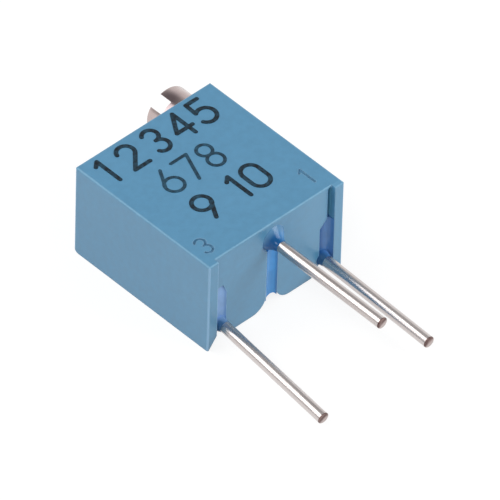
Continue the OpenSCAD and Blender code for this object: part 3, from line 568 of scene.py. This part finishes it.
def lead(number):
    """A lead from its inner end through its gentle bend to its sheared end."""
    node = "lead_%d" % number
    low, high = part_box(node)
    mount = mounts[node]
    out = Vector((0, -1, 0))
    course = Vector(mount["axis"]).normalized()
    bm = bmesh.new()
    if number == 2:
        # the middle lead comes up from the substrate and turns outward in a quarter bend
        foot = Vector((0, high.y - lead_r, low.z))
        edges = ring(bm, foot, Vector((0, 0, 1)), lead_r)
        bmesh.ops.contextual_create(bm, geom=edges)
        edges = draw_on(bm, edges, Vector((0, 0, -tight_bend - foot.z)))
        edges = bend(bm, edges, Vector((0, foot.y - tight_bend, -tight_bend)), (1, 0, 0),
                     math.radians(90), 12)
        here = Vector((0, foot.y - tight_bend, 0))
    else:
        here = Vector((high.x - lead_r, high.y, high.z - lead_r))
        edges = ring(bm, here, out, lead_r)
        bmesh.ops.contextual_create(bm, geom=edges)
    # where the straight stretch's axis would meet the free stretch's
    side = course - course.dot(out) * out
    off = Vector(mount["pos_m"]) - here
    off -= off.dot(out) * out
    corner = Vector(mount["pos_m"]) - course * (off.dot(side) / side.dot(side))
    angle = course.angle(out)
    back_off = soft_bend * math.tan(angle / 2)
    begin = corner - out * back_off
    edges = draw_on(bm, edges, begin - here)
    edges = bend(bm, edges, begin + side.normalized() * soft_bend, out.cross(course), angle, 6)
    here = corner + course * back_off
    end_y = low.y + lead_r * math.sqrt(1 - course.y ** 2)
    length = (here.y - end_y) / -course.y
    sheared_end(bm, edges, here, course, length)
    made = piece_of("wire_%d" % number, bm, "case_body", "tinned_wire", "wire", "wire_end", smooth=40.0)
    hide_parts(node)
    tip = here + course * length
    smeared = made.data.attributes.new("smeared", "FLOAT", "POINT")
    for i, vertex in enumerate(made.data.vertices):
        smeared.data[i].value = unit(0.5 + 0.5 * (vertex.co - tip).dot(drag) / lead_r)


for number in (1, 2, 3):
    lead(number)


def milled(body, cutter):
    """One mesh with the other cut out of it."""
    kept = bpy.data.objects.new("body", body)
    tool = bpy.data.objects.new("tool", cutter)
    for piece in (kept, tool):
        scene.collection.objects.link(piece)
    cut = kept.modifiers.new("cut", "BOOLEAN")
    cut.operation, cut.object, cut.solver = "DIFFERENCE", tool, "EXACT"
    made = bpy.data.meshes.new_from_object(kept.evaluated_get(bpy.context.evaluated_depsgraph_get()))
    for piece in (kept, tool):
        bpy.data.objects.remove(piece)
    return made


# the screw: where its axis and the top of its head are, and the slot milled in the head
screw_lo, screw_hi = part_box("adjust_screw")
screw_x, screw_z = (screw_lo.x + screw_hi.x) / 2, (screw_lo.z + screw_hi.z) / 2
head_r, neck_r, head_top = (screw_hi.x - screw_lo.x) / 2, 0.84 * MM, screw_hi.y
slot_width, slot_depth, slot_turn = 0.58 * MM, 0.6 * MM, math.radians(54)


def turned_head():
    """The head, its edges broken, with a stub of the neck that reaches down into the case."""
    under = case_hi.y + 0.04 * MM
    chamfer, stub = 0.07 * MM, 0.3 * MM
    profile = [(0, head_top), (head_r - chamfer, head_top),
               (head_r - 0.3 * chamfer, head_top - 0.12 * chamfer), (head_r, head_top - chamfer),
               (head_r, under + chamfer / 2), (head_r - chamfer / 2, under), (neck_r, under),
               (neck_r, under - stub), (0, under - stub)]
    bm = bmesh.new()
    chain = [bm.verts.new((screw_x + r, y, screw_z)) for r, y in profile]
    edges = [bm.edges.new(pair) for pair in zip(chain, chain[1:])]
    bmesh.ops.spin(bm, geom=chain + edges, cent=(screw_x, 0, screw_z), axis=(0, 1, 0), dvec=(0, 0, 0),
                   angle=math.radians(360), steps=120, use_merge=True, use_duplicate=False)
    bmesh.ops.remove_doubles(bm, verts=bm.verts, dist=0.00001 * MM)
    bmesh.ops.recalc_face_normals(bm, faces=bm.faces)
    return mesh_of("head", bm)


def slot_cutter():
    """A block as wide as the slot, half of it sunk in the head."""
    bm = bmesh.new()
    bmesh.ops.create_cube(bm, size=1.0)
    bmesh.ops.scale(bm, verts=bm.verts, vec=(6 * MM, 2 * slot_depth, slot_width))
    bmesh.ops.rotate(bm, verts=bm.verts, cent=(0, 0, 0), matrix=Matrix.Rotation(slot_turn, 3, "Y"))
    bmesh.ops.translate(bm, verts=bm.verts, vec=(screw_x, head_top, screw_z))
    return mesh_of("cutter", bm)


def worm():
    """The screw of the frame from inside the case on, closed where it meets the turned neck."""
    bm = bmesh.new()
    bm.from_mesh(frame["nodes"]["adjust_screw"].data)
    bmesh.ops.remove_doubles(bm, verts=bm.verts, dist=0.0002 * MM)
    kept = bmesh.ops.bisect_plane(bm, geom=bm.verts[:] + bm.edges[:] + bm.faces[:],
                                  plane_co=(0, case_hi.y - 0.1 * MM, 0), plane_no=(0, 1, 0),
                                  clear_outer=True)
    rim = [g for g in kept["geom_cut"] if isinstance(g, bmesh.types.BMEdge)]
    bmesh.ops.contextual_create(bm, geom=rim)
    return mesh_of("worm", bm)


def screw():
    """The turned head with its milled slot, whose lips are broken, and the worm below it."""
    bm = bmesh.new()
    bm.from_mesh(milled(turned_head(), slot_cutter()))
    slot_floor, near = head_top - slot_depth, 0.001 * MM
    lips = [e for e in bm.edges
            if len(e.link_faces) == 2 and e.calc_face_angle(0) > math.radians(50)
            and min(v.co.y for v in e.verts) > slot_floor - near
            and max(v.co.y for v in e.verts) > slot_floor + near]
    bmesh.ops.bevel(bm, geom=lips, offset=0.018 * MM, offset_type="OFFSET", affect="EDGES", segments=2,
                    profile=0.5, material=-1, clamp_overlap=True)
    bm.from_mesh(worm())
    made = piece_of("turned_screw", bm, "screw", "screw", "screw")
    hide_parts("adjust_screw")


screw()


def mound(name, rings, lit_way, depth, spread, shade_start_y):
    """Resin drawn up a lead: rings (x, z, radius, y) in millimetres, from inside the case outwards.
    Outward of the y where the shade begins it carries painted shade, by depth and less toward the lit
    way. With a spread of 1 it carries painted light toward the lit way and feathers out at its rim."""
    bm = bmesh.new()
    x, z, radius, y = (size * MM for size in rings[0])
    edges = ring(bm, Vector((x, y, z)), Vector((0, -1, 0)), radius, 64)
    bmesh.ops.contextual_create(bm, geom=edges)
    for row in rings[1:]:
        here, (x, z, wider, y) = Vector((x, y, z)), (size * MM for size in row)
        edges = draw_on(bm, edges, Vector((x, y, z)) - here)
        widen(bm, edges, Vector((x, y, z)), wider / radius)
        radius = wider
    bmesh.ops.contextual_create(bm, geom=edges)
    made = piece_of(name, bm, "case_body", "resin", "resin", smooth=70.0)
    widest = max(row[2] for row in rings) * MM
    lit_way = Vector(lit_way).normalized()
    painted_shade, painted_light, feathered = (made.data.attributes.new(zone, "FLOAT", "POINT")
                                  for zone in ("painted_shade", "painted_light", "feathered"))
    for i, vertex in enumerate(made.data.vertices):
        # how far out it is, in shares of the widest ring, and how far of that toward the lit way
        out = Vector((vertex.co.x - x, vertex.co.z - z)) / widest
        run = out.dot(lit_way)
        # painted shade outward of the given y, less toward the lit way; painted light toward the lit
        # way; the rim's feathering
        shade_onset = unit((shade_start_y * MM - vertex.co.y) / (0.2 * MM))
        painted_shade.data[i].value = shade_onset * unit(depth - 1.4 * run)
        painted_light.data[i].value = spread * unit(2.0 * run)
        feathered.data[i].value = spread * unit((out.length - 0.72) / 0.3)


# round the middle lead it stands over the countersink, a little toward the marked face
mound("resin_mound_2",
      [(0, 0, 0.3, 0.4), (0.03, 0.12, 0.55, 0.235), (0.03, 0.12, 0.535, 0.205),
       (0.03, 0.11, 0.5, 0.165), (0.025, 0.085, 0.44, 0.1), (0.015, 0.055, 0.37, 0.02),
       (0.01, 0.03, 0.31, -0.065), (0, 0.01, 0.27, -0.15), (0, 0, 0.244, -0.22), (0, 0, 0.233, -0.25),
       (0, 0, 0.2, -0.24)],
      lit_way=(1, 0.15), depth=0.9, spread=1.0, shade_start_y=0.4)
# round the outer two it begins a little outward of the lead's axis and comes in to it; of each ring:
# how far outward it lies, its radius and its y
outer_rings = ((0.02, 0.25, 0.45), (0.02, 0.315, 0.3), (0.02, 0.305, 0.24), (0.02, 0.288, 0.17),
               (0.02, 0.27, 0.1), (0.01, 0.254, 0.04), (0.005, 0.241, -0.01), (0, 0.234, -0.04),
               (0, 0.231, -0.05), (0, 0.2, -0.04))
for number, side in ((1, 1), (3, -1)):
    mound("resin_mound_%d" % number,
          [(side * (outer_x / MM + outward), outer_z / MM, radius, y)
           for outward, radius, y in outer_rings],
          lit_way=(0.8, 0.6), depth=1.3, spread=0.0, shade_start_y=0.29)


def film(name, section, bottom, top, cutter=None):
    """Resin in the mouth of a slot, hanging between its walls: a section of (x, y) in millimetres drawn
    up from bottom to top, less the cutter."""
    bm = bmesh.new()
    chain = [bm.verts.new((x * MM, y * MM, bottom * MM)) for x, y in section]
    made = bmesh.ops.extrude_face_region(bm, geom=[bm.faces.new(chain)])["geom"]
    bmesh.ops.translate(bm, verts=[g for g in made if isinstance(g, bmesh.types.BMVert)],
                        vec=(0, 0, (top - bottom) * MM))
    bmesh.ops.recalc_face_normals(bm, faces=bm.faces)
    if cutter:
        block = mesh_of("block", bm)
        bm = bmesh.new()
        bm.from_mesh(milled(block, cutter))
    piece_of(name, bm, "case_body", "resin", "resin", smooth=60.0)


def hanging(middle, half):
    """A section the same to both sides of x = middle: half of it, as (distance, y), from the back."""
    return ([(middle - away, y) for away, y in half]
            + [(middle + away, y) for away, y in reversed(half[:-1])])


def arch_cutter():
    """A bar through the middle slot, whose top is the arch that the resin ends in."""
    bm = bmesh.new()
    bmesh.ops.create_cone(bm, cap_ends=True, segments=64, radius1=0.297 * MM, radius2=0.297 * MM,
                          depth=2 * MM, matrix=Matrix.Translation((0, 0, -3.037 * MM))
                          @ Matrix.Rotation(math.radians(90), 4, "X"))
    return mesh_of("arch", bm)


film("slot_film_3",
     hanging(-2.585, [(0.31, 0.4), (0.31, 0.204), (0.275, 0.245), (0.215, 0.268), (0, 0.278)]),
     bottom=-2.75, top=-0.685)
# beside the foot of lead 1 it climbs the foot's inner wall
film("slot_film_1",
     [(2.275, 0.204), (2.31, 0.245), (2.37, 0.268), (2.6, 0.278), (2.76, 0.265), (2.83, 0.225),
      (2.87, 0.15), (2.885, 0.06), (2.893, 0.015), (2.905, 0.015), (2.905, 0.4), (2.275, 0.4)],
     bottom=-2.75, top=-0.685)
film("slot_film_2",
     hanging(0, [(0.266, 0.4), (0.266, 0.204), (0.235, 0.243), (0.18, 0.267), (0, 0.278)]),
     bottom=-2.92, top=-0.47, cutter=arch_cutter())


# ---- stage ----
def matt_white_card():
    # White card: it lights the object from below as pale card does, and shows as white to the eye and
    # in shiny surfaces, apart from the object's shadow.
    material = bpy.data.materials.new("matt_white_card")
    material.use_nodes = True
    tree = material.node_tree
    tree.nodes.clear()
    rays = put(tree, "ShaderNodeLightPath")
    seen = put(tree, "ShaderNodeMath", {"operation": "MAXIMUM"}, i0=rays.outputs["Is Camera Ray"],
               i1=rays.outputs["Is Glossy Ray"])
    card = put(tree, "ShaderNodeBsdfDiffuse", Color=linear("#cdcdcd"))
    dim = put(tree, "ShaderNodeBsdfDiffuse", Color=linear("#808080"))
    glow = put(tree, "ShaderNodeEmission", Color=linear("#ffffff"), Strength=0.84)
    shown = put(tree, "ShaderNodeAddShader", i0=dim.outputs[0], i1=glow.outputs[0])
    both = put(tree, "ShaderNodeMixShader", i0=seen.outputs[0], i1=card.outputs[0], i2=shown.outputs[0])
    put(tree, "ShaderNodeOutputMaterial", Surface=both.outputs[0])
    return material


def lay_floor():
    """A wide sheet of card under the part."""
    bm = bmesh.new()
    bmesh.ops.create_grid(bm, x_segments=1, y_segments=1, size=1500 * MM)
    bmesh.ops.translate(bm, verts=bm.verts, vec=(0, 0, cad_lo.z))
    floor = bpy.data.objects.new("floor", mesh_of("floor", bm))
    floor.data.materials.append(matt_white_card())
    scene.collection.objects.link(floor)


def studio():
    """The world: an even white light, and what the eye and shiny or clear surfaces see of it, which is
    white at the horizon, with a dim ceiling that is dimmer still to the left."""
    world = bpy.data.worlds.new("studio")
    world.use_nodes = True
    tree = world.node_tree
    tree.nodes.clear()
    rays = put(tree, "ShaderNodeLightPath")
    toward = put(tree, "ShaderNodeTexCoord").outputs["Generated"]
    parts = put(tree, "ShaderNodeSeparateXYZ", Vector=toward).outputs
    lean = put(tree, "ShaderNodeMath", {"operation": "MULTIPLY_ADD"}, i0=parts["X"], i1=-0.35,
               i2=parts["Z"])
    ceiling = put(tree, "ShaderNodeMapRange", Value=lean.outputs[0], From_Min=0.13, From_Max=0.5,
                  To_Min=1.0, To_Max=0.46)
    seen = put(tree, "ShaderNodeMath", {"operation": "MAXIMUM"}, i0=rays.outputs["Is Camera Ray"],
               i1=rays.outputs["Is Glossy Ray"])
    seen = put(tree, "ShaderNodeMath", {"operation": "MAXIMUM"}, i0=seen.outputs[0],
               i1=rays.outputs["Is Transmission Ray"])
    power = put(tree, "ShaderNodeMix", {"data_type": "FLOAT"}, i0=seen.outputs[0], i2=0.4,
                i3=ceiling.outputs["Result"])
    sky = put(tree, "ShaderNodeBackground", Color=linear("#ffffff"), Strength=power.outputs[0])
    put(tree, "ShaderNodeOutputWorld", Surface=sky.outputs[0])
    scene.world = world


def softbox(name, place, size, watts):
    """A square lamp at a place in millimetres from the middle of the case, turned toward it."""
    lamp = bpy.data.objects.new(name, bpy.data.lights.new(name, "AREA"))
    lamp.data.shape = "SQUARE"
    lamp.data.size = size * MM
    lamp.data.energy = watts
    lamp.location = (case_lo + case_hi) / 2 + Vector(place) * MM
    lamp.rotation_euler = Vector(place).to_track_quat("Z", "Y").to_euler()
    scene.collection.objects.link(lamp)


lay_floor()
studio()
softbox("back_left_box", (-61, 61, 83), 90, 0.068)
softbox("right_box", (72, -100, 73), 80, 0.092)
softbox("left_box", (-90, -59, 90), 40, 0.028)
scene.view_settings.view_transform = "Standard"
